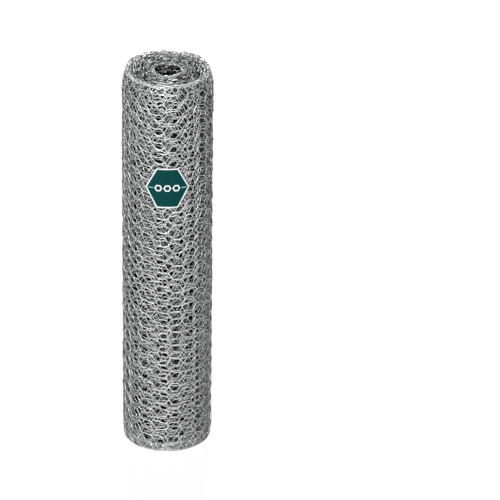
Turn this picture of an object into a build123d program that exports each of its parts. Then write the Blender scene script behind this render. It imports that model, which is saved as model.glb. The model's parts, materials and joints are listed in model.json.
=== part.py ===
"""A roll of galvanised hexagonal wire netting, standing on its end, with a card label on its front.

The frame has +Z up along the roll's axis and its origin on the floor at that axis. The label faces -Y.
The roll is one turned solid with its bore, and the edge of each turn shows as a ridge on both ends.
"""

import os
from math import pi, sqrt

from build123d import *

# Netting and roll, in millimetres
netting_width = 600.0  # the width that the netting is sold in, which is the roll's height
netting_length = 10000.0  # the length of netting wound on the roll
roll_diameter = 132.0
bore_diameter = 36.0  # the hollow inside the first turn

# Ends of the roll
edge_flat = 0.5  # the flat on the edge wire of each turn
edge_groove_depth = 2.0  # how deep the gap between two turns is open
shoulder_radius = 3.0  # the outer turns draw in along this round at both ends

# Card label
label_width = 63.0  # from corner to corner, straight across the front
label_height = 63.0  # between the two level sides
label_thickness = 0.5
label_centre_height = 441.0  # above the floor
label_clearance = 0.3  # between the card's back and the outermost wires

# The turns, as many as the length of netting makes between the bore and the outside
roll_radius = roll_diameter / 2
bore_radius = bore_diameter / 2
mean_turn_length = pi * (roll_radius + bore_radius)
turn_count = round(netting_length / mean_turn_length)
turn_pitch = (roll_radius - bore_radius) / turn_count

# The label's seat on the roll
label_back_radius = roll_radius + label_clearance
label_front_radius = label_back_radius + label_thickness
label_level_side = label_width / 2


def edge_drop(radius):
    """How far the edge of a turn at this radius lies inside the end plane of the roll."""
    overhang = radius - (roll_radius - shoulder_radius)
    if overhang <= 0:
        return 0.0
    return shoulder_radius - sqrt(shoulder_radius**2 - overhang**2)


def end_outline():
    """Points (radius, depth from the end plane) over one end, from the bore's wall to the outside."""
    groove_mouth = turn_pitch - edge_flat
    points = [(bore_radius, 0.0)]
    for turn in range(1, turn_count):
        groove_middle = bore_radius + turn * turn_pitch
        inner_edge = edge_drop(groove_middle - turn_pitch / 2)
        outer_edge = edge_drop(groove_middle + turn_pitch / 2)
        points.append((groove_middle - groove_mouth / 2, inner_edge))
        points.append((groove_middle, inner_edge + edge_groove_depth))
        points.append((groove_middle + groove_mouth / 2, outer_edge))
    points.append((roll_radius, edge_drop(roll_radius - turn_pitch / 2)))
    return points


# The netting, wound up as one turned solid
bottom_points = end_outline()
top_points = [(radius, netting_width - depth) for radius, depth in reversed(bottom_points)]
with BuildPart() as netting_roll:
    with BuildSketch(Plane.XZ):
        with BuildLine():
            Polyline(*bottom_points, *top_points, close=True)
        make_face()
    revolve(axis=Axis.Z)
netting_roll.part.label = "netting_roll"

# The hexagonal card, bent round the front of the roll
label_bottom = label_centre_height - label_height / 2
label_top = label_centre_height + label_height / 2
hexagon_points = [
    (-label_width / 2, label_centre_height),
    (-label_level_side / 2, label_bottom),
    (label_level_side / 2, label_bottom),
    (label_width / 2, label_centre_height),
    (label_level_side / 2, label_top),
    (-label_level_side / 2, label_top),
]
with BuildPart() as label_card:
    with BuildSketch(Plane.XY.offset(label_bottom)):
        Circle(label_front_radius)
        Circle(label_back_radius, mode=Mode.SUBTRACT)
    extrude(amount=label_height)
    with BuildSketch(Plane.XZ):
        with BuildLine():
            Polyline(*hexagon_points, close=True)
        make_face()
    extrude(amount=label_front_radius, mode=Mode.INTERSECT)
label_card.part.label = "label_card"

os.makedirs("parts", exist_ok=True)
export_step(netting_roll.part, "parts/netting_roll.step")
export_step(label_card.part, "parts/label_card.step")
print("turns", turn_count, "pitch", round(turn_pitch, 3), "mm")
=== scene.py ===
"""A roll of galvanised hexagonal wire netting: its wound wires, its card label and a plain studio.

Lengths are in metres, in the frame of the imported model: +Z up along the roll, the label facing -Y.
"""

import json
from collections import namedtuple
from math import cos, pi, radians, sin, sqrt, tau

import bpy
from bpy.props import FloatProperty, FloatVectorProperty, IntProperty, PointerProperty
from mathutils import Matrix, Vector


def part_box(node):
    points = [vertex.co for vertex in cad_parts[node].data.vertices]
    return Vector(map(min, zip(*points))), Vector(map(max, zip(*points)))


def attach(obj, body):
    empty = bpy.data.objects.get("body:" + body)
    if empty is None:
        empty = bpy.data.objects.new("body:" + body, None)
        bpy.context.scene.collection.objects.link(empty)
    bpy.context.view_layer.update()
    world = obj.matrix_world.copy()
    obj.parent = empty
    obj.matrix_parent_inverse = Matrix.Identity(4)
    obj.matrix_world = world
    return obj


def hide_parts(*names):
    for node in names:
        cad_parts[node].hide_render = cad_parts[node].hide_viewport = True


bl_info = {
    "name": "Wire netting roll",
    "version": (1, 0, 0),
    "blender": (4, 5, 0),
    "location": "3D View > Sidebar > Netting",
    "description": "Winds hexagonal wire netting into a roll, dresses its label and lights it",
    "category": "Object",
}

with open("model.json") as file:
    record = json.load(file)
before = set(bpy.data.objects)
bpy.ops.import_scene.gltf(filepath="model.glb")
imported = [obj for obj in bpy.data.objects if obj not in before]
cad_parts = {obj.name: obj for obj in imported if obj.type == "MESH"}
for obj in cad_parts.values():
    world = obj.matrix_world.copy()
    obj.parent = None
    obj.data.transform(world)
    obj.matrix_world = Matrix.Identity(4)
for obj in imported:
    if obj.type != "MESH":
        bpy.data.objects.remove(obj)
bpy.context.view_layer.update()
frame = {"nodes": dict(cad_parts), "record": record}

MILLIMETRES = 1000  # in a metre

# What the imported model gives
ROLL_LOW, ROLL_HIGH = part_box("netting_roll")
ROLL_MIDDLE = (ROLL_LOW + ROLL_HIGH) / 2
ROLL_RADIUS = (ROLL_HIGH.x - ROLL_LOW.x) / 2
BORE = next(mount for mount in frame["record"]["mounts"] if mount["name"] == "bore")
BORE_RADIUS = BORE["dims"]["r_mm"] / MILLIMETRES
LABEL_LOW, LABEL_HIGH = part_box("label_card")
LABEL_MIDDLE = (LABEL_LOW + LABEL_HIGH) / 2
LABEL_WIDTH = LABEL_HIGH.x - LABEL_LOW.x
LABEL_HEIGHT = LABEL_HIGH.z - LABEL_LOW.z
LABEL_THICKNESS = 0.0005
LABEL_BACK = -LABEL_LOW.y - LABEL_THICKNESS  # from the roll's axis to the card's back

BODY = "root"
MAP_NAME = "OFBake"  # the map that a bake of the wires goes through


class NettingSettings(bpy.types.PropertyGroup):
    """Sizes and finish of the wound netting."""

    width: FloatProperty(
        name="Width", description="Width of the netting, which is the roll's height",
        default=ROLL_HIGH.z - ROLL_LOW.z, min=0.05, unit="LENGTH")
    length: FloatProperty(
        name="Length", description="Length of netting wound on the roll",
        default=10.0, min=0.5, unit="LENGTH")
    roll_radius: FloatProperty(
        name="Roll radius", description="Outside of the outermost turn",
        default=ROLL_RADIUS, min=0.02, unit="LENGTH")
    bore_radius: FloatProperty(
        name="Bore radius", description="Inside of the first turn",
        default=BORE_RADIUS, min=0.005, unit="LENGTH")
    wire_diameter: FloatProperty(
        name="Wire", description="Diameter of the galvanised wire",
        default=0.0009, min=0.0003, unit="LENGTH")
    half_rows: IntProperty(
        name="Half rows", description="Half hexagons from one edge of the netting to the other",
        default=53, min=3)
    column_pitch: FloatProperty(
        name="Column pitch", description="From one column of twists to the next, along the netting",
        default=0.0195, min=0.005, unit="LENGTH")
    twist_length: FloatProperty(
        name="Twist length", description="Length over which two wires are twisted together",
        default=0.0132, min=0.002, unit="LENGTH")
    outer_margin: FloatProperty(
        name="Outer margin", description="How far edges of the outer turns may lie below the top",
        default=0.0055, min=0.0, unit="LENGTH")
    inner_margin: FloatProperty(
        name="Inner margin", description="How far edges of the inner turns may lie below the top",
        default=0.0060, min=0.0, unit="LENGTH")
    stagger: FloatProperty(
        name="Stagger", description="How far the meshes of a turn may slide from the others'",
        default=0.018, min=0.0, unit="LENGTH")
    lump_depth: FloatProperty(
        name="Lumps", description="How far neighbouring turns bulge together",
        default=0.0008, min=0.0, unit="LENGTH")
    jitter: FloatProperty(
        name="Jitter", description="How far a wire strays from its place by itself",
        default=0.0018, min=0.0, unit="LENGTH")
    end_angle: FloatProperty(
        name="Loose end", description="Where round the roll the outer end of the netting lies",
        default=radians(97.0), subtype="ANGLE")
    hook_depth: FloatProperty(
        name="Hook", description="How far the cut ends of the wires are pushed into the roll",
        default=0.004, min=0.0, unit="LENGTH")
    seed: IntProperty(
        name="Seed", description="Picks the edges, the stagger and the kinks", default=2, min=0)
    bright_zinc: FloatVectorProperty(
        name="Bright zinc", description="Colour of clean zinc", subtype="COLOR",
        default=(0.95, 0.96, 0.96), min=0.0, max=1.0)
    dull_zinc: FloatVectorProperty(
        name="Dull zinc", description="Colour of zinc that has gone dull", subtype="COLOR",
        default=(0.80, 0.81, 0.81), min=0.0, max=1.0)


class LabelSettings(bpy.types.PropertyGroup):
    """Print on the hexagonal card label."""

    face_colour: FloatVectorProperty(
        name="Face", description="Printed colour of the card", subtype="COLOR",
        default=(0.0020, 0.051, 0.051), min=0.0, max=1.0)
    line_colour: FloatVectorProperty(
        name="Lines", description="Bare white of the border and the marks", subtype="COLOR",
        default=(0.86, 0.90, 0.90), min=0.0, max=1.0)
    dash_colour: FloatVectorProperty(
        name="Dashes", description="Tint of the two dashes", subtype="COLOR",
        default=(0.28, 0.62, 0.60), min=0.0, max=1.0)
    border: FloatProperty(
        name="Border", description="Width of the bare border",
        default=0.0018, min=0.0, unit="LENGTH")
    mark_pitch: FloatProperty(
        name="Mark pitch", description="From one small hexagon to the next",
        default=0.0130, min=0.001, unit="LENGTH")
    mark_width: FloatProperty(
        name="Mark width", description="A small hexagon from corner to corner",
        default=0.0115, min=0.001, unit="LENGTH")
    mark_line: FloatProperty(
        name="Mark line", description="Width of a small hexagon's outline",
        default=0.0019, min=0.0002, unit="LENGTH")
    dash_start: FloatProperty(
        name="Dash start", description="From the middle of the card to the near end of a dash",
        default=0.0205, min=0.0, unit="LENGTH")
    dash_end: FloatProperty(
        name="Dash end", description="From the middle of the card to the far end of a dash",
        default=0.0275, min=0.0, unit="LENGTH")


class StudioSettings(bpy.types.PropertyGroup):
    """Floor, lamps and surroundings."""

    floor_size: FloatProperty(
        name="Floor", description="Side of the floor", default=80.0, min=1.0, unit="LENGTH")
    floor_colour: FloatVectorProperty(
        name="Floor colour", description="Colour of the floor", subtype="COLOR",
        default=(0.25, 0.25, 0.25), min=0.0, max=1.0)
    floor_lift: FloatProperty(
        name="Floor lift", description="What the floor is seen brighter by, so that it is white",
        default=0.86, min=0.0)
    left_power: FloatProperty(
        name="Left lamp", description="Power of the lamp at the front left",
        default=147.0, min=0.0, unit="POWER")
    right_power: FloatProperty(
        name="Right lamp", description="Power of the lamp at the front right",
        default=6.0, min=0.0, unit="POWER")
    back_power: FloatProperty(
        name="Back lamp", description="Power of the lamp behind and above the roll",
        default=90.0, min=0.0, unit="POWER")
    ambient: FloatProperty(
        name="Ambient", description="Level of the light from all round", default=0.03, min=0.0)


# Nodes

class Number:
    """A number in a node tree. Its operators add Math nodes, so that a rule reads as a formula."""

    def __init__(self, tree, socket):
        self.tree = tree
        self.socket = socket

    def math(self, operation, *others):
        return math_node(self.tree, operation, self, *others)

    def __add__(self, other):
        return self.math("ADD", other)

    def __sub__(self, other):
        return self.math("SUBTRACT", other)

    def __rsub__(self, other):
        return math_node(self.tree, "SUBTRACT", other, self)

    def __mul__(self, other):
        return self.math("MULTIPLY", other)

    def __truediv__(self, other):
        return self.math("DIVIDE", other)

    def __mod__(self, other):
        return self.math("FLOORED_MODULO", other)

    def __pow__(self, other):
        return self.math("POWER", other)

    def floor(self):
        return self.math("FLOOR")

    def root(self):
        return self.math("SQRT")

    def size(self):
        return self.math("ABSOLUTE")

    def cosine(self):
        return self.math("COSINE")

    def sine(self):
        return self.math("SINE")

    def exponential(self):
        return self.math("EXPONENT")

    def least(self, other):
        return self.math("MINIMUM", other)

    def most(self, other):
        return self.math("MAXIMUM", other)

    def below(self, other):
        return self.math("LESS_THAN", other)

    def within(self, low, high):
        return self.most(low).least(high)


def math_node(tree, operation, *values):
    """One Math node on numbers or plain values, as a Number."""
    node = new_node(tree, "ShaderNodeMath", operation=operation)
    for socket, value in zip(node.inputs, values):
        feed(tree, socket, value)
    return Number(tree, node.outputs[0])


def new_node(tree, kind, **settings):
    """A node of that kind with these properties set."""
    node = tree.nodes.new(kind)
    for name, value in settings.items():
        setattr(node, name, value)
    return node


def feed(tree, socket, value):
    """Links a Number or an output to a socket, or sets a plain value on it."""
    if isinstance(value, Number):
        tree.links.new(value.socket, socket)
    elif isinstance(value, bpy.types.NodeSocket):
        tree.links.new(value, socket)
    else:
        socket.default_value = value


def vector_of(tree, x, y, z):
    """The output of a Combine XYZ node fed with three numbers."""
    node = new_node(tree, "ShaderNodeCombineXYZ")
    for socket, value in zip(node.inputs, (x, y, z)):
        feed(tree, socket, value)
    return node.outputs["Vector"]


def vector_node(tree, operation, first, second=None, scale=None):
    """The output of a Vector Math node."""
    node = new_node(tree, "ShaderNodeVectorMath", operation=operation)
    feed(tree, node.inputs[0], first)
    if second is not None:
        feed(tree, node.inputs[1], second)
    if scale is not None:
        feed(tree, node.inputs["Scale"], scale)
    return node.outputs["Vector"]


def split(tree, vector):
    """The three numbers of a vector."""
    node = new_node(tree, "ShaderNodeSeparateXYZ")
    feed(tree, node.inputs[0], vector)
    return [Number(tree, output) for output in node.outputs]


NOISE_SCALE = 1.0
NOISE_DETAIL = 1.0
NOISE_MIDDLE = 0.5
NOISE_SPREAD = 2.2  # stretches the noise, which keeps to its middle, to a whole share


def soft_noise(tree, dimensions, place):
    """A smooth noise that changes once over a length of 1."""
    noise = new_node(tree, "ShaderNodeTexNoise", noise_dimensions=dimensions)
    feed(tree, noise.inputs["Vector"], place)
    noise.inputs["Scale"].default_value = NOISE_SCALE
    noise.inputs["Detail"].default_value = NOISE_DETAIL
    return noise


def stray(tree, place, reach):
    """A vector of up to about reach each way, from noise at this place."""
    noise = soft_noise(tree, "3D", place)
    middle = (NOISE_MIDDLE, NOISE_MIDDLE, NOISE_MIDDLE)
    centred = vector_node(tree, "SUBTRACT", noise.outputs["Color"], middle)
    return vector_node(tree, "SCALE", centred, scale=reach * 2.0)


def share_at(tree, place, seed):
    """A share from 0 to 1 that changes smoothly from place to place."""
    noise = soft_noise(tree, "4D", place)
    feed(tree, noise.inputs["W"], seed)
    centred = Number(tree, noise.outputs["Fac"]) - NOISE_MIDDLE
    return (centred * NOISE_SPREAD + NOISE_MIDDLE).within(0.0, 1.0)


# Wound netting

INNER_ROOM = 0.0014  # from the bore to the middle of the first turn
OUTER_ROOM = 0.0004  # from the outside of the roll to the middle of the outermost netting
TIGHT_SHARE = 0.85  # how much closer together the outermost turns lie
TIGHT_REACH = 0.008
LEAN_REACH = 0.030  # from an end of the roll, over which the outer turns lean in
LEAN_FRONT = 0.010  # how far the outermost top edge leans in over the label
LEAN_BACK = 0.001  # and how far at the back
LEAN_FOOT = 0.002  # how far the bottom edge leans in
LEAN_FADE = 3.0  # how soon the lean is gone towards the axis
HOOK_REACH = 0.012  # length of netting that is pushed in at the loose end

EDGE_BENDS = 8.0  # how often an edge goes up and down round the roll
EDGE_TURNS = 0.9  # turns over which it changes
SLACK_TURNS = 24.0  # turns from the outside to where the inner margin is reached
FOOT_SHARE = 0.3  # of a margin, at the bottom, where the turns stand on the floor
TOP_SEED_STEP = 7.3  # from the seed of the bottom edges to that of the top ones

SLIDE_BENDS = 0.5  # how often the meshes slide one way and back round the roll
SLIDE_TURNS = 0.63  # turns over which that changes
SLIDE_RISES = 0.6  # how often it changes from the bottom to the top
EDGE_HOLD = 12.0  # how near to the edges the rows still slide
ROW_SEED_STEP = 3.7  # from the seed of the bottom edges to that of the rows' sliding
COLUMN_SEED_STEP = 11.9  # and to that of the columns' sliding

LUMP_SIZE = 0.045  # across one bulge of the roll
KINK_SIZE = 0.016  # along a wire, from one kink to the next
KINKS_PER_ROW = 0.7
PRESS_MARGIN = 0.002  # round the label, where the wires behind it are pressed flat

# A few-sided wire as thick on average as a round one
ROUND_SHARES = {3: 1.209, 4: 1.111, 5: 1.069}
FIRST_WIRE = -1  # the bottom edge wire; the wires of the mesh follow from 0
END_WIRES = 3  # wires at each end that stay finely made in the inner turns

Turns = namedtuple("Turns", "name count sides twist_points run_points twist_turns whole")

# The turns from the outside in. Deeper ones, seen only through others, have fewer faces
LEVELS = (
    Turns("netting_turn_outer", 1.08, 5, 13, 3, 2, True),
    Turns("netting_turns_second", 2.95, 3, 8, 2, 2, True),
    Turns("netting_turns_third", 5.0, 3, 4, 2, 1, True),
    Turns("netting_turns_fourth", 7.0, 3, 3, 1, 0, False),
    Turns("netting_turns_inner", None, 3, 1, 1, 0, False),
)
EDGE_LEVEL = Turns("netting_edges", None, 4, 4, 2, 1, False)

TREE_INPUTS = (
    ("Sides", "NodeSocketInt"),
    ("Twist Points", "NodeSocketInt"),
    ("Run Points", "NodeSocketInt"),
    ("Twist Turns", "NodeSocketInt"),
    ("First Column", "NodeSocketInt"),
    ("Columns", "NodeSocketInt"),
    ("First Wire", "NodeSocketInt"),
    ("Wires", "NodeSocketInt"),
    ("Last Row", "NodeSocketInt"),
    ("Wire Radius", "NodeSocketFloat"),
    ("Tube Radius", "NodeSocketFloat"),
    ("Column Pitch", "NodeSocketFloat"),
    ("Twist Length", "NodeSocketFloat"),
    ("Width", "NodeSocketFloat"),
    ("Outer Margin", "NodeSocketFloat"),
    ("Inner Margin", "NodeSocketFloat"),
    ("Stagger", "NodeSocketFloat"),
    ("Inner Radius", "NodeSocketFloat"),
    ("Outer Radius", "NodeSocketFloat"),
    ("Turn Pitch", "NodeSocketFloat"),
    ("Start Angle", "NodeSocketFloat"),
    ("Length", "NodeSocketFloat"),
    ("Lump Depth", "NodeSocketFloat"),
    ("Jitter", "NodeSocketFloat"),
    ("Hook Depth", "NodeSocketFloat"),
    ("Seed", "NodeSocketInt"),
    ("Material", "NodeSocketMaterial"),
)


def netting_tree():
    """Geometry nodes that make some wires of the netting over some of its columns, wound up."""
    tree = bpy.data.node_groups.new("Wound netting", "GeometryNodeTree")
    for name, kind in TREE_INPUTS:
        tree.interface.new_socket(name, in_out="INPUT", socket_type=kind)
    tree.interface.new_socket("Geometry", in_out="OUTPUT", socket_type="NodeSocketGeometry")
    sockets = new_node(tree, "NodeGroupInput").outputs
    given = {name: Number(tree, sockets[name]) for name, _ in TREE_INPUTS}

    # One straight wire with as many points as its columns need, once for each wire
    points_per_column = given["Twist Points"] + given["Run Points"]
    line = new_node(tree, "GeometryNodeCurvePrimitiveLine")
    resample = new_node(tree, "GeometryNodeResampleCurve", mode="COUNT")
    tree.links.new(line.outputs["Curve"], resample.inputs["Curve"])
    feed(tree, resample.inputs["Count"], given["Columns"] * points_per_column + 1)
    copies = new_node(tree, "GeometryNodeDuplicateElements", domain="SPLINE")
    tree.links.new(resample.outputs["Curve"], copies.inputs["Geometry"])
    feed(tree, copies.inputs["Amount"], given["Wires"])

    # The map of each wire, before it is bent: along it, and which wire it is
    parameter = new_node(tree, "GeometryNodeSplineParameter")
    copy_number = Number(tree, copies.outputs["Duplicate Index"])
    along = parameter.outputs["Factor"]
    wires = captured(tree, copies.outputs["Geometry"], Along=along, Wire=copy_number)
    bent = new_node(tree, "GeometryNodeSetPosition")
    tree.links.new(wires.outputs["Geometry"], bent.inputs["Geometry"])
    mesh = mesh_place(given, Number(tree, parameter.outputs["Index"]), copy_number)
    uneven = uneven_place(tree, given, mesh, wound_place(tree, given, mesh))
    tree.links.new(kept_place(tree, given, uneven), bent.inputs["Position"])

    # Round wire along each path
    section = new_node(tree, "GeometryNodeCurvePrimitiveCircle", mode="RADIUS")
    feed(tree, section.inputs["Resolution"], given["Sides"])
    feed(tree, section.inputs["Radius"], given["Tube Radius"])
    turned = captured(tree, section.outputs["Curve"], Around=parameter.outputs["Factor"])
    tubes = new_node(tree, "GeometryNodeCurveToMesh")
    tree.links.new(bent.outputs["Geometry"], tubes.inputs["Curve"])
    tree.links.new(turned.outputs["Geometry"], tubes.inputs["Profile Curve"])
    tubes.inputs["Fill Caps"].default_value = True

    around = Number(tree, turned.outputs["Around"])
    across = (Number(tree, wires.outputs["Wire"]) + around) / given["Wires"]
    mapped = new_node(tree, "GeometryNodeStoreNamedAttribute", data_type="FLOAT2", domain="CORNER")
    tree.links.new(tubes.outputs["Mesh"], mapped.inputs["Geometry"])
    mapped.inputs["Name"].default_value = MAP_NAME
    map_place = vector_of(tree, Number(tree, wires.outputs["Along"]), across, 0.0)
    tree.links.new(map_place, mapped.inputs["Value"])

    smooth = new_node(tree, "GeometryNodeSetShadeSmooth")
    realized = new_node(tree, "GeometryNodeRealizeInstances")
    finished = new_node(tree, "GeometryNodeSetMaterial")
    output = new_node(tree, "NodeGroupOutput")
    tree.links.new(mapped.outputs["Geometry"], smooth.inputs["Geometry"])
    tree.links.new(smooth.outputs["Geometry"], realized.inputs["Geometry"])
    tree.links.new(realized.outputs["Geometry"], finished.inputs["Geometry"])
    tree.links.new(sockets["Material"], finished.inputs["Material"])
    tree.links.new(finished.outputs["Geometry"], output.inputs["Geometry"])
    return tree


def captured(tree, geometry, **values):
    """A Capture Attribute node that keeps these values on the points of a geometry."""
    node = new_node(tree, "GeometryNodeCaptureAttribute", domain="POINT")
    tree.links.new(geometry, node.inputs["Geometry"])
    for name, value in values.items():
        node.capture_items.new("FLOAT", name)
        feed(tree, node.inputs[name], value)
    return node


MeshPlace = namedtuple("MeshPlace", "along row rise depth")


def mesh_place(given, point, copy_number):
    """Where a point of a wire lies on the flat netting: along it, up its rows, round its twist."""
    # Which column of the netting, and which stretch of it
    per_column = given["Twist Points"] + given["Run Points"]
    step = (point / per_column).floor()
    place = point - step * per_column
    column = given["First Column"] + step
    wire = given["First Wire"] + copy_number
    twist_share = (place / given["Twist Points"]).least(1.0)
    run_share = (place - given["Twist Points"]).most(0.0) / given["Run Points"]
    run_length = given["Column Pitch"] - given["Twist Length"]
    column_start = column * given["Column Pitch"]
    along = column_start + twist_share * given["Twist Length"] + run_share * run_length

    # Each wire steps up to the next row and back, and the first and last stay on the edges
    lift = (column + wire) % 2.0
    step_way = 1.0 - lift * 2.0
    free_row = wire + lift
    own_row = free_row.within(0.0, given["Last Row"])
    paired = 1.0 - (free_row - own_row).size()
    row = (free_row + run_share * step_way).within(0.0, given["Last Row"])

    # Two wires go round each other at a twist, and start and end it each on its own side
    side = step_way * paired
    swing = twist_share * given["Twist Turns"] * tau
    rise = given["Wire Radius"] * side * (1.0 - run_share * 2.0) * swing.cosine()
    depth = given["Wire Radius"] * side * swing.sine()
    return MeshPlace(along, row, rise, depth)


def round_roll(tree, angle, bends, level):
    """A place for noise that changes so many times round the roll, and with the level."""
    return vector_of(tree, angle.cosine() * bends, angle.sine() * bends, level)


def slide_at(tree, place, seed, reach):
    """A length of up to reach one way or the other that changes smoothly from place to place."""
    return (share_at(tree, place, seed) * 2.0 - 1.0) * reach


def near_end(distance, reach):
    """A share that eases from 1 at an end to 0 at this reach from it."""
    return (1.0 - distance / reach).most(0.0) ** 2.0


def lean_at(side, height, width):
    """How far the outermost turn leans in here, where side is -1 at the front and 1 at the back."""
    top_lean = side * ((LEAN_BACK - LEAN_FRONT) / 2) + (LEAN_BACK + LEAN_FRONT) / 2
    top_share = near_end(width - height, LEAN_REACH)
    foot_share = near_end(height, LEAN_REACH)
    return top_share * top_lean + foot_share * LEAN_FOOT


def wound_place(tree, given, mesh):
    """Where a place on the flat netting comes to lie when it is wound up."""
    # The spiral, whose turns lie one pitch apart
    inner = given["Inner Radius"]
    radius = (inner * inner + mesh.along * given["Turn Pitch"] / pi).root()
    turns = (radius - inner) / given["Turn Pitch"]
    angle = turns * tau + given["Start Angle"]
    inside = given["Outer Radius"] - radius

    # Both edges of a turn go up and down
    slack = (inside / given["Turn Pitch"] / SLACK_TURNS).least(1.0)
    margin = given["Outer Margin"] + (given["Inner Margin"] - given["Outer Margin"]) * slack
    edge_place = round_roll(tree, angle, EDGE_BENDS, turns / EDGE_TURNS)
    bottom = share_at(tree, edge_place, given["Seed"]) * margin * FOOT_SHARE
    top = given["Width"] - share_at(tree, edge_place, given["Seed"] + TOP_SEED_STEP) * margin

    # The meshes slide up and down between the edges, and round the roll
    up_share = mesh.row / given["Last Row"]
    slide_place = round_roll(tree, angle, SLIDE_BENDS, turns / SLIDE_TURNS)
    slide_seed = given["Seed"] + up_share * SLIDE_RISES
    row_slide = slide_at(tree, slide_place, slide_seed + ROW_SEED_STEP, given["Stagger"])
    column_slide = slide_at(tree, slide_place, slide_seed + COLUMN_SEED_STEP, given["Stagger"])
    free_share = 1.0 - (up_share * 2.0 - 1.0).size() ** EDGE_HOLD
    height = bottom + up_share * (top - bottom) + row_slide * free_share + mesh.rise
    around = angle + column_slide / radius

    # The outer turns lie closer, their edges lean in, and the cut ends are pushed into the roll
    tightened = radius + inside * (inside / -TIGHT_REACH).exponential() * TIGHT_SHARE
    outer_share = (radius / given["Outer Radius"]) ** LEAN_FADE
    lean = lean_at(angle.sine(), height, given["Width"]) * outer_share
    hook = near_end(given["Length"] - mesh.along, HOOK_REACH) * given["Hook Depth"]
    wound = tightened - mesh.depth - lean - hook
    return vector_of(tree, wound * around.cosine(), wound * around.sine(), height)


def uneven_place(tree, given, mesh, even):
    """The same place with the bulges of the roll and the kinks of each wire."""
    lump_place = vector_node(tree, "SCALE", even, scale=1.0 / LUMP_SIZE)
    lumps = stray(tree, lump_place, given["Lump Depth"])
    kink_place = vector_of(tree, mesh.along / KINK_SIZE, mesh.row * KINKS_PER_ROW, given["Seed"])
    kinks = stray(tree, kink_place, given["Jitter"])
    return vector_node(tree, "ADD", vector_node(tree, "ADD", even, lumps), kinks)


def kept_place(tree, given, free):
    """The same place, kept between the ends of the roll and behind the label's card."""
    x, y, z = split(tree, free)
    height = z.within(given["Tube Radius"], given["Width"] - given["Tube Radius"])
    radius = (x * x + y * y).root()
    from_label = x.size().most((height - LABEL_MIDDLE.z).size())
    behind = from_label.below(LABEL_WIDTH / 2 + PRESS_MARGIN) * y.below(0.0)
    excess = (radius - LABEL_BACK + given["Tube Radius"]).most(0.0) * behind
    press = 1.0 - excess / radius
    return vector_of(tree, x * press, y * press, height)


def set_inputs(modifier, values):
    """Sets a Geometry Nodes modifier's inputs, each found by its name and set by its identifier."""
    for item in modifier.node_group.interface.items_tree:
        if item.item_type == "SOCKET" and item.in_out == "INPUT":
            modifier[item.identifier] = values[item.name]


def wire_piece(name, tree, values):
    """A plain mesh object from a Geometry Nodes tree with these inputs."""
    base = bpy.data.objects.new(name + "_base", bpy.data.meshes.new(name + "_base"))
    bpy.context.scene.collection.objects.link(base)
    modifier = base.modifiers.new("Netting", "NODES")
    modifier.node_group = tree
    set_inputs(modifier, values)
    graph = bpy.context.evaluated_depsgraph_get()
    mesh = bpy.data.meshes.new_from_object(base.evaluated_get(graph), depsgraph=graph)
    mesh.name = name
    if not mesh.polygons:
        raise RuntimeError(f"the netting of {name} came out empty")
    blank = base.data
    bpy.data.objects.remove(base)
    bpy.data.meshes.remove(blank)
    piece = bpy.data.objects.new(name, mesh)
    bpy.context.scene.collection.objects.link(piece)
    return piece


class NETTING_OT_wind_turns(bpy.types.Operator):
    """Winds the netting's wires into the turns of the roll"""

    bl_idname = "netting.wind_turns"
    bl_label = "Wind turns"

    def execute(self, context):
        netting = context.scene.netting
        tree = netting_tree()
        inner = netting.bore_radius + INNER_ROOM
        outer = netting.roll_radius - OUTER_ROOM
        turn_count = round(netting.length / (pi * (inner + outer)))
        pitch = (outer - inner) / turn_count
        wire_radius = netting.wire_diameter / 2

        def columns_to(radius):
            """How many columns of the netting are wound from the bore to this radius."""
            return pi * (radius**2 - inner**2) / pitch / netting.column_pitch

        column_count = int(columns_to(outer))
        shared = {
            "Last Row": netting.half_rows,
            "Wire Radius": wire_radius,
            "Column Pitch": netting.column_pitch,
            "Twist Length": netting.twist_length,
            "Width": netting.width,
            "Outer Margin": netting.outer_margin,
            "Inner Margin": netting.inner_margin,
            "Stagger": netting.stagger,
            "Inner Radius": inner,
            "Outer Radius": outer,
            "Turn Pitch": pitch,
            "Start Angle": netting.end_angle - turn_count * tau,
            "Length": column_count * netting.column_pitch,
            "Lump Depth": netting.lump_depth,
            "Jitter": netting.jitter,
            "Hook Depth": netting.hook_depth,
            "Seed": netting.seed,
            "Material": galvanised_wire(netting),
        }

        def wires(level, name, first_column, last_column, first_wire, last_wire):
            """A piece of the netting over these columns and wires."""
            own = {
                "Sides": level.sides,
                "Twist Points": level.twist_points,
                "Run Points": level.run_points,
                "Twist Turns": level.twist_turns,
                "First Column": first_column,
                "Columns": last_column - first_column,
                "First Wire": first_wire,
                "Wires": last_wire - first_wire + 1,
                "Tube Radius": wire_radius * ROUND_SHARES[level.sides],
            }
            return wire_piece(name, tree, shared | own)

        top_wire = netting.half_rows
        last_column = column_count
        radius = outer
        edge_columns = 0
        pieces = []
        for level in LEVELS:
            if level.count is None:
                first_column = 0
            else:
                radius = radius - level.count * pitch
                first_column = round(columns_to(radius))
            if level.whole:
                span = (FIRST_WIRE, top_wire)
            else:
                span = (FIRST_WIRE + END_WIRES, top_wire - END_WIRES)
                edge_columns = max(edge_columns, last_column)
            pieces.append(wires(level, level.name, first_column, last_column, *span))
            last_column = first_column
        bottom_span = (FIRST_WIRE, FIRST_WIRE + END_WIRES - 1)
        top_span = (top_wire - END_WIRES + 1, top_wire)
        pieces.append(wires(EDGE_LEVEL, "netting_edges_bottom", 0, edge_columns, *bottom_span))
        pieces.append(wires(EDGE_LEVEL, "netting_edges_top", 0, edge_columns, *top_span))
        for piece in pieces:
            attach(piece, BODY)
            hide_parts("netting_roll")
        return {"FINISHED"}


# Finishes

Patches = namedtuple("Patches", "scale low high")

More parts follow.
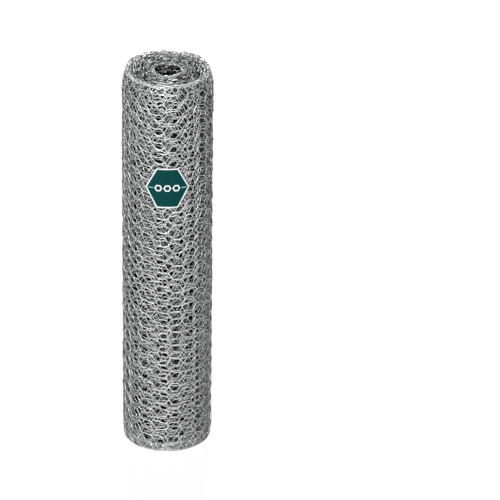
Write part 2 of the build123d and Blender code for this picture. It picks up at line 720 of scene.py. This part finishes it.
PATCH_DETAIL = 3.0
DULL_PATCHES = Patches(55.0, 0.42, 0.68)  # about 18 mm across
ZINC_GRAIN = Patches(900.0, 0.30, 0.70)  # about a millimetre
SCUFFS = Patches(120.0, 0.45, 0.75)
FIBRES = Patches(1400.0, 0.30, 0.70)


def finish_tree(name):
    """A new material with its node tree and its Principled BSDF."""
    material = bpy.data.materials.new(name)
    material.use_nodes = True
    tree = material.node_tree
    return material, tree, tree.nodes["Principled BSDF"]


def patches_group():
    """A node group that gives soft patches of a surface as a mask."""
    name = "Soft patches"
    if name in bpy.data.node_groups:
        return bpy.data.node_groups[name]
    group = bpy.data.node_groups.new(name, "ShaderNodeTree")
    for socket, kind in (("Place", "NodeSocketVector"), ("Scale", "NodeSocketFloat"),
                         ("Low", "NodeSocketFloat"), ("High", "NodeSocketFloat")):
        group.interface.new_socket(socket, in_out="INPUT", socket_type=kind)
    group.interface.new_socket("Mask", in_out="OUTPUT", socket_type="NodeSocketFloat")
    given = new_node(group, "NodeGroupInput").outputs
    noise = new_node(group, "ShaderNodeTexNoise", noise_dimensions="3D")
    noise.inputs["Detail"].default_value = PATCH_DETAIL
    group.links.new(given["Place"], noise.inputs["Vector"])
    group.links.new(given["Scale"], noise.inputs["Scale"])
    spread = new_node(group, "ShaderNodeMapRange", interpolation_type="SMOOTHSTEP")
    group.links.new(noise.outputs["Fac"], spread.inputs["Value"])
    group.links.new(given["Low"], spread.inputs["From Min"])
    group.links.new(given["High"], spread.inputs["From Max"])
    output = new_node(group, "NodeGroupOutput")
    group.links.new(spread.outputs["Result"], output.inputs["Mask"])
    return group


def patch_mask(tree, place, patches):
    """The mask of soft patches of this size."""
    node = new_node(tree, "ShaderNodeGroup", node_tree=patches_group())
    tree.links.new(place, node.inputs["Place"])
    node.inputs["Scale"].default_value = patches.scale
    node.inputs["Low"].default_value = patches.low
    node.inputs["High"].default_value = patches.high
    return Number(tree, node.outputs["Mask"])


def blend_colours(tree, mask, first, second):
    """The output of a Mix node between two colours, each a plain colour or an output."""
    node = new_node(tree, "ShaderNodeMix", data_type="RGBA")
    feed(tree, node.inputs["Factor"], mask)
    colour_sockets = [socket for socket in node.inputs if socket.type == "RGBA"]
    for socket, colour in zip(colour_sockets, (first, second)):
        if isinstance(colour, bpy.types.NodeSocket):
            tree.links.new(colour, socket)
        else:
            socket.default_value = (*colour, 1.0)
    return next(socket for socket in node.outputs if socket.type == "RGBA")


WIRE_METALLIC = 0.75  # the rest is the matt bloom on the zinc
WIRE_ROUGHNESS = 0.36
WIRE_ROUGHNESS_SPREAD = 0.20
WIRE_EDGE_TINT = (0.05, 0.05, 0.05)  # dull zinc doesn't mirror at a flat angle
DULL_SHARE = 0.7  # of the tarnish, the rest being grain

# Painted shade: the shade that the turns give each other, painted into the wires' colour
GLOOM_START = 0.0020  # below the nearest side of the roll, where the painted shade begins
GLOOM_DEPTH = 0.0125  # where it is deepest
END_GLOOM = 4.0  # how much sooner it deepens from the ends of the roll
# the dark colour that is painted in as shade
SHADE_COLOUR = (0.02, 0.02, 0.02)
FLANK_SHADE = 0.85  # how much of the painted shade falls on the flank of a wire
OPEN_FACING = 0.6  # how squarely a wire's surface faces out of the roll where none falls on it
TOP_OPEN = 0.03  # below the top, where facing up counts as facing out


def galvanised_wire(netting):
    """Zinc on steel: bright, with dull patches and a fine grain, and painted darker deep in the roll
    and on the wires' flanks, where the turns shade it.
    """
    material, tree, surface = finish_tree("Galvanised wire")
    own = new_node(tree, "ShaderNodeTexCoord").outputs
    dull = patch_mask(tree, own["Object"], DULL_PATCHES)
    grain = patch_mask(tree, own["Object"], ZINC_GRAIN)
    tarnish = dull * DULL_SHARE + grain * (1.0 - DULL_SHARE)
    zinc = blend_colours(tree, tarnish, netting.bright_zinc, netting.dull_zinc)

    # Painted shade deep in the roll: darker with depth below the outside, above the bore and from
    # the ends
    x, y, z = split(tree, own["Object"])
    radius = (x * x + y * y).root()
    from_top = ROLL_HIGH.z - z
    outside = ROLL_RADIUS - lean_at(y / radius, z, ROLL_HIGH.z)
    depth = (outside - radius).least(radius - BORE_RADIUS).least(z.least(from_top) * END_GLOOM)
    gloom = ((depth - GLOOM_START) / (GLOOM_DEPTH - GLOOM_START)).within(0.0, 1.0)

    # Painted shade on the flanks of the wires, where they face away from the outside of the roll
    normal_x, normal_y, normal_z = split(tree, own["Normal"])
    facing_out = (normal_x * x + normal_y * y) / radius
    facing_up = normal_z * (1.0 - from_top / TOP_OPEN).within(0.0, 1.0)
    bare = (facing_out.most(facing_up) / OPEN_FACING).within(0.0, 1.0)
    flank = (1.0 - bare) * FLANK_SHADE

    shade = 1.0 - (1.0 - gloom) * (1.0 - flank)
    # The painted shade darkens the zinc towards the shade colour
    colour = blend_colours(tree, shade, zinc, SHADE_COLOUR)
    tree.links.new(colour, surface.inputs["Base Color"])
    feed(tree, surface.inputs["Roughness"], tarnish * WIRE_ROUGHNESS_SPREAD + WIRE_ROUGHNESS)
    surface.inputs["Metallic"].default_value = WIRE_METALLIC
    surface.inputs["Specular Tint"].default_value = (*WIRE_EDGE_TINT, 1.0)
    return material


CARD_ROUGHNESS = 0.62
CARD_ROUGHNESS_SPREAD = 0.16
CARD_GLOSS = 0.05
CARD_BUMP = 0.12
CARD_BUMP_DEPTH = 0.0002
SCUFF_LIGHTENING = 0.003
REGULAR_HEIGHT_SHARE = 0.87  # a regular hexagon's height to its width
OUTER_MARK = 1.0  # the small hexagons are numbered from -1 to 1
DASH_HEIGHT = 0.0014


def hexagon_depth(x, z, width, height):
    """How far inside a hexagon with two level sides a place lies, as a Number."""
    slope = width / (2 * height)
    slant = (x.size() + z.size() * slope - width / 2) * (-1 / sqrt(1 + slope**2))
    level = z.size() * -1.0 + height / 2
    return slant.least(level)


def printed_card(label):
    """Satin printed card: a bare border, three small hexagons in a row and a dash on each side."""
    material, tree, surface = finish_tree("Printed card")
    place = new_node(tree, "ShaderNodeTexCoord").outputs["Object"]
    x, _, free_z = split(tree, place)
    z = free_z - LABEL_MIDDLE.z
    border = hexagon_depth(x, z, LABEL_WIDTH, LABEL_HEIGHT).below(label.border)

    mark_number = (x / label.mark_pitch + 0.5).floor().within(-OUTER_MARK, OUTER_MARK)
    mark_x = x - mark_number * label.mark_pitch
    mark_depth = hexagon_depth(mark_x, z, label.mark_width, label.mark_width * REGULAR_HEIGHT_SHARE)
    ring = (mark_depth - label.mark_line / 2).size().below(label.mark_line / 2)

    dash_middle = (label.dash_start + label.dash_end) / 2
    dash_reach = (label.dash_end - label.dash_start) / 2
    dash = (x.size() - dash_middle).size().below(dash_reach) * z.size().below(DASH_HEIGHT / 2)

    scuffs = patch_mask(tree, place, SCUFFS)
    fibres = patch_mask(tree, place, FIBRES)
    worn_colour = tuple(part + SCUFF_LIGHTENING for part in label.face_colour)
    face = blend_colours(tree, scuffs, label.face_colour, worn_colour)
    dashed = blend_colours(tree, dash, face, label.dash_colour)
    colour = blend_colours(tree, border.most(ring), dashed, label.line_colour)
    tree.links.new(colour, surface.inputs["Base Color"])
    feed(tree, surface.inputs["Roughness"], scuffs * CARD_ROUGHNESS_SPREAD + CARD_ROUGHNESS)
    surface.inputs["Specular IOR Level"].default_value = CARD_GLOSS
    bump = new_node(tree, "ShaderNodeBump")
    bump.inputs["Strength"].default_value = CARD_BUMP
    bump.inputs["Distance"].default_value = CARD_BUMP_DEPTH
    feed(tree, bump.inputs["Height"], fibres)
    tree.links.new(bump.outputs["Normal"], surface.inputs["Normal"])
    return material


class NETTING_OT_print_label(bpy.types.Operator):
    """Prints the hexagonal card on the front of the roll"""

    bl_idname = "netting.print_label"
    bl_label = "Print label"

    def execute(self, context):
        card = frame["nodes"]["label_card"]
        card.data.materials.clear()
        card.data.materials.append(printed_card(context.scene.netting_label))
        return {"FINISHED"}


# Studio

CAMERA_PLACE = Vector((0.0, -5.294, 3.123))
CAMERA_DOWN = radians(28.013)
CAMERA_ASIDE = radians(1.3125)  # towards +X
CAMERA_ROLL = radians(0.71)
CAMERA_LENS = 294.7  # millimetres, on a 36 mm sensor

# Lamps, by their angles round the roll from its front and above its middle
LEFT_AROUND = radians(-12.0)
LEFT_ABOVE = radians(19.0)
RIGHT_AROUND = radians(40.0)
RIGHT_ABOVE = radians(16.0)
BACK_AROUND = radians(180.0)
BACK_ABOVE = radians(50.0)
LAMP_DISTANCE = 3.8
LAMP_SIZE = 0.5

WHITE = (1.0, 1.0, 1.0, 1.0)
FLOOR_ROUGHNESS = 0.9
SEEN_RAYS = ("Is Camera Ray", "Is Glossy Ray", "Is Transmission Ray")


def add_camera():
    """The camera at the photograph's angle."""
    ahead = Vector((sin(CAMERA_ASIDE), cos(CAMERA_ASIDE), 0.0))
    level_right = Vector((cos(CAMERA_ASIDE), -sin(CAMERA_ASIDE), 0.0))
    vertical = Vector((0.0, 0.0, 1.0))
    forward = cos(CAMERA_DOWN) * ahead - sin(CAMERA_DOWN) * vertical
    level_up = sin(CAMERA_DOWN) * ahead + cos(CAMERA_DOWN) * vertical
    right = cos(CAMERA_ROLL) * level_right + sin(CAMERA_ROLL) * level_up
    up = cos(CAMERA_ROLL) * level_up - sin(CAMERA_ROLL) * level_right
    data = bpy.data.cameras.new("Camera")
    data.lens = CAMERA_LENS
    camera = bpy.data.objects.new("Camera", data)
    turn = Matrix((right, up, -forward)).transposed()
    camera.matrix_world = Matrix.Translation(CAMERA_PLACE) @ turn.to_4x4()
    bpy.context.scene.collection.objects.link(camera)
    bpy.context.scene.camera = camera


def add_lamp(name, around, above, power):
    """A soft lamp that shines at the middle of the roll."""
    data = bpy.data.lights.new(name, "AREA")
    data.shape = "DISK"
    data.size = LAMP_SIZE
    data.energy = power
    away = Vector((sin(around) * cos(above), -cos(around) * cos(above), sin(above)))
    turn = (-away).to_track_quat("-Z", "Y")
    lamp = bpy.data.objects.new(name, data)
    lamp.matrix_world = Matrix.LocRotScale(ROLL_MIDDLE + away * LAMP_DISTANCE, turn, None)
    bpy.context.scene.collection.objects.link(lamp)


def pale_floor(studio):
    """Matt and plain, and lifted to white where it is seen, so that only the shadow shows on it."""
    material, tree, surface = finish_tree("Pale floor")
    surface.inputs["Base Color"].default_value = (*studio.floor_colour, 1.0)
    surface.inputs["Roughness"].default_value = FLOOR_ROUGHNESS
    ray = new_node(tree, "ShaderNodeLightPath")
    camera, glossy, through = (Number(tree, ray.outputs[name]) for name in SEEN_RAYS)
    seen = camera.most(glossy).most(through)
    surface.inputs["Emission Color"].default_value = WHITE
    feed(tree, surface.inputs["Emission Strength"], seen * studio.floor_lift)
    return material


def add_floor(studio):
    """A wide level floor under the roll."""
    half = studio.floor_size / 2
    corners = [(-half, -half, 0.0), (half, -half, 0.0), (half, half, 0.0), (-half, half, 0.0)]
    mesh = bpy.data.meshes.new("Floor")
    mesh.from_pydata(corners, [], [(0, 1, 2, 3)])
    mesh.materials.append(pale_floor(studio))
    floor = bpy.data.objects.new("Floor", mesh)
    bpy.context.scene.collection.objects.link(floor)


def add_world(studio):
    """A plain grey room, which gives a soft light from all round."""
    world = bpy.data.worlds.new("Studio")
    bpy.context.scene.world = world
    world.use_nodes = True
    light = world.node_tree.nodes["Background"]
    light.inputs["Color"].default_value = WHITE
    light.inputs["Strength"].default_value = studio.ambient


class NETTING_OT_set_studio(bpy.types.Operator):
    """Sets up the floor, the lamps, the grey surroundings and the camera"""

    bl_idname = "netting.set_studio"
    bl_label = "Set studio"

    def execute(self, context):
        studio = context.scene.netting_studio
        context.scene.view_settings.view_transform = "Standard"
        add_camera()
        add_floor(studio)
        add_lamp("Left lamp", LEFT_AROUND, LEFT_ABOVE, studio.left_power)
        add_lamp("Right lamp", RIGHT_AROUND, RIGHT_ABOVE, studio.right_power)
        add_lamp("Back lamp", BACK_AROUND, BACK_ABOVE, studio.back_power)
        add_world(studio)
        return {"FINISHED"}


# Add-on

class NETTING_PT_sidebar(bpy.types.Panel):
    """Lists the steps that make the roll, with their settings"""

    bl_idname = "NETTING_PT_sidebar"
    bl_label = "Wire netting roll"
    bl_space_type = "VIEW_3D"
    bl_region_type = "UI"
    bl_category = "Netting"

    def draw(self, context):
        steps = (
            (NETTING_OT_set_studio, context.scene.netting_studio),
            (NETTING_OT_wind_turns, context.scene.netting),
            (NETTING_OT_print_label, context.scene.netting_label),
        )
        for operator, settings in steps:
            box = self.layout.box()
            box.operator(operator.bl_idname)
            for name in settings.bl_rna.properties.keys():
                if name not in ("rna_type", "name"):
                    box.prop(settings, name)


CLASSES = (
    NettingSettings,
    LabelSettings,
    StudioSettings,
    NETTING_OT_set_studio,
    NETTING_OT_wind_turns,
    NETTING_OT_print_label,
    NETTING_PT_sidebar,
)
SETTINGS = {
    "netting": NettingSettings,
    "netting_label": LabelSettings,
    "netting_studio": StudioSettings,
}


def register():
    for item in CLASSES:
        bpy.utils.register_class(item)
    for name, group in SETTINGS.items():
        setattr(bpy.types.Scene, name, PointerProperty(type=group))


def unregister():
    for name in SETTINGS:
        delattr(bpy.types.Scene, name)
    for item in reversed(CLASSES):
        bpy.utils.unregister_class(item)


def main():
    register()
    bpy.ops.netting.set_studio()
    bpy.ops.netting.wind_turns()
    bpy.ops.netting.print_label()


if __name__ == "__main__":
    main()
